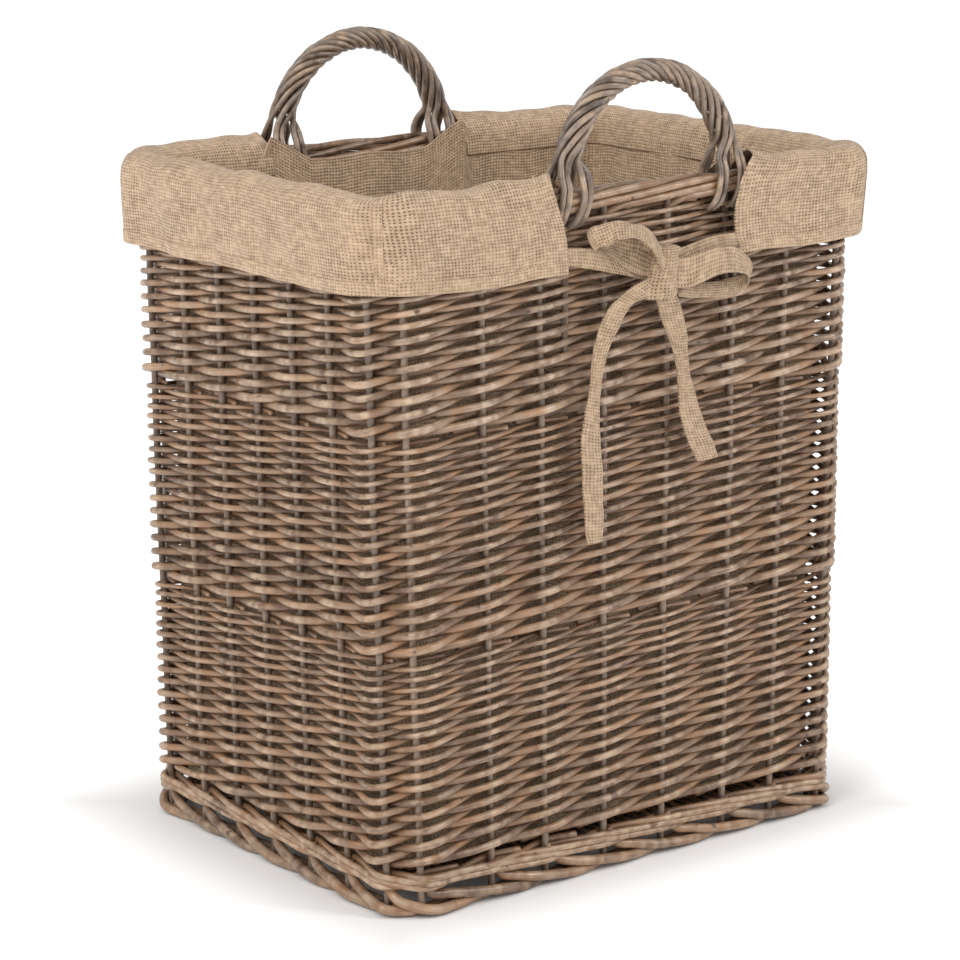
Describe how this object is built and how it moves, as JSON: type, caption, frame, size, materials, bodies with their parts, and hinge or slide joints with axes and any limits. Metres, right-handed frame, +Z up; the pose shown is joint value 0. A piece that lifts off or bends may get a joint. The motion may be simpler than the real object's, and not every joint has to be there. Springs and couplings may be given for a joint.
{
  "type": "wicker log basket",
  "caption": "Tall rectangular willow log basket with arched roped handles and a lift-out hessian lining that folds over the rim and ties in bows.",
  "frame": {"origin": "middle of the underside, on the floor", "axes": "+Z up, +X along the long side, -Y towards the front handle and bow"},
  "size_m": [0.4332, 0.3342, 0.5385],
  "materials": {
    "willow": "antique-washed willow rods, satin",
    "stakes": "antique-washed willow stakes, satin",
    "handle_willow": "antique-washed roped willow, satin",
    "hessian": "open plain-weave jute hessian",
    "ribbon": "folded hessian ribbon"
  },
  "bodies": {
    "basket": {"foot_border": "willow", "base_edge_sticks": "willow", "base_sticks": "willow", "base_weave": "willow", "front_stakes": "stakes", "back_stakes": "stakes", "left_stakes": "stakes", "right_stakes": "stakes", "corner_stakes": "stakes", "upsett_wale": "willow", "lower_weave": "willow", "middle_weave": "willow", "upper_weave": "willow", "top_border": "willow", "front_handle_core": "handle_willow", "front_handle_rope": "handle_willow", "front_handle_lashings": "handle_willow", "back_handle_core": "handle_willow", "back_handle_rope": "handle_willow", "back_handle_lashings": "handle_willow"},
    "liner": {"liner_floor": "hessian", "liner_front": "hessian", "liner_back": "hessian", "liner_left": "hessian", "liner_right": "hessian", "cuff_left": "hessian", "cuff_right": "hessian", "cuff_hem_left": "hessian", "cuff_hem_right": "hessian", "cuff_corner_seams": "hessian", "front_tie_left": "ribbon", "front_tie_right": "ribbon", "front_bow_knot": "ribbon", "front_bow_loops": "ribbon", "front_bow_tails": "ribbon", "back_tie_left": "ribbon", "back_tie_right": "ribbon", "back_bow_knot": "ribbon", "back_bow_loops": "ribbon", "back_bow_tails": "ribbon"}
  },
  "joints": [
    {"name": "liner_lift", "type": "slide", "parent": "basket", "child": "liner", "axis": [0, 0, 1], "range_m": [0, 0.6]}
  ]
}
